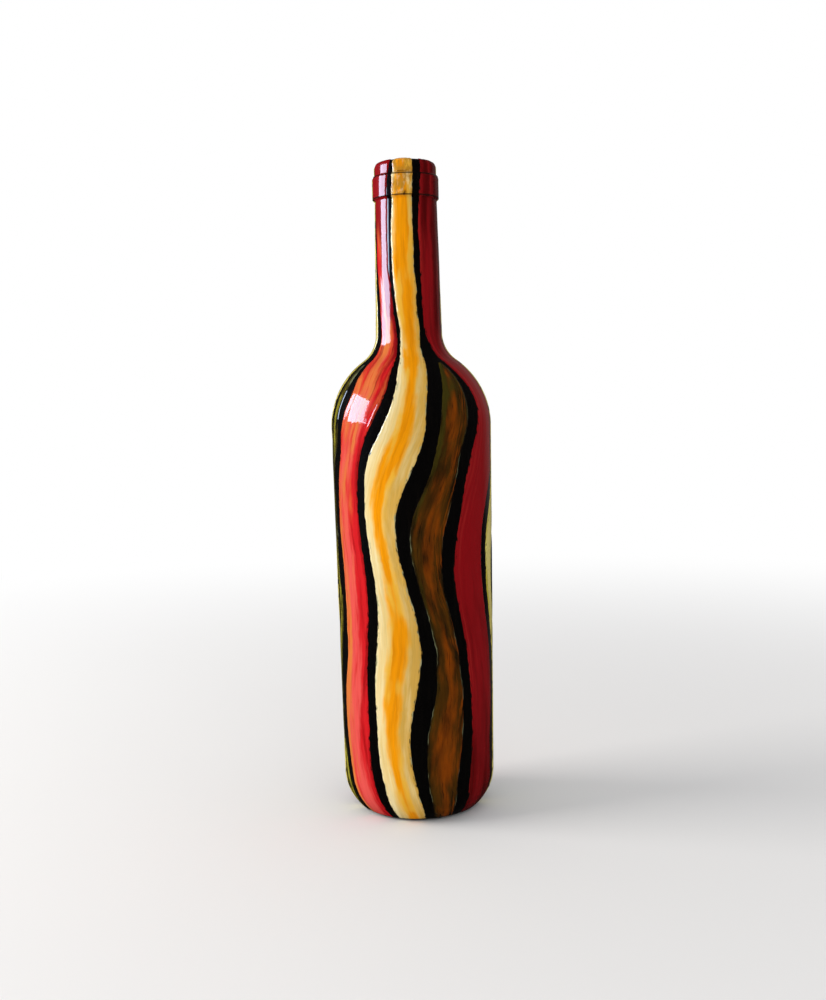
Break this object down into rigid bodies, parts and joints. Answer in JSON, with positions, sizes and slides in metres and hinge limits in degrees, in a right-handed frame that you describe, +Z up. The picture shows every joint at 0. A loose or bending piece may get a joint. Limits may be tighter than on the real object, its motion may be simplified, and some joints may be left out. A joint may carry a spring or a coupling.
{
  "type": "painted glass bottle",
  "caption": "Tall glass bottle with straight sides, round shoulders and a long collared neck, painted lip to foot in wavy stripes.",
  "frame": {"origin": "middle of the ring that the bottle stands on, at the level of that ring", "axes": "+Z up along the bottle's axis, out of the mouth; -Y towards the bottle's front, with the front cream stripe"},
  "size_m": [0.0744, 0.0748, 0.3006],
  "materials": {
    "bottle_glass": "dark green glass, fire polished",
    "black_paint": "black acrylic under clear gloss varnish",
    "cream_paint": "brushed acrylic under clear gloss varnish",
    "amber_paint": "brushed acrylic under clear gloss varnish",
    "brown_paint": "thin brushed acrylic under clear gloss varnish",
    "deep_red_paint": "brushed acrylic under clear gloss varnish",
    "coral_red_paint": "brushed acrylic under clear gloss varnish",
    "yellow_paint": "brushed acrylic under clear gloss varnish",
    "olive_paint": "thin brushed acrylic under clear gloss varnish"
  },
  "bodies": {
    "root": {"glass_bottle": "bottle_glass", "ground_coat": "black_paint", "cream_band_front": "cream_paint", "brown_band_front": "brown_paint", "red_band_right": "deep_red_paint", "yellow_band_right": "yellow_paint", "olive_band_right": "olive_paint", "coral_band_back": "coral_red_paint", "cream_band_back": "cream_paint", "brown_band_back": "brown_paint", "red_band_left": "deep_red_paint", "yellow_band_left": "yellow_paint", "olive_band_left": "olive_paint", "coral_band_left": "coral_red_paint", "amber_core_front": "amber_paint", "amber_core_back": "amber_paint"}
  },
  "joints": []
}
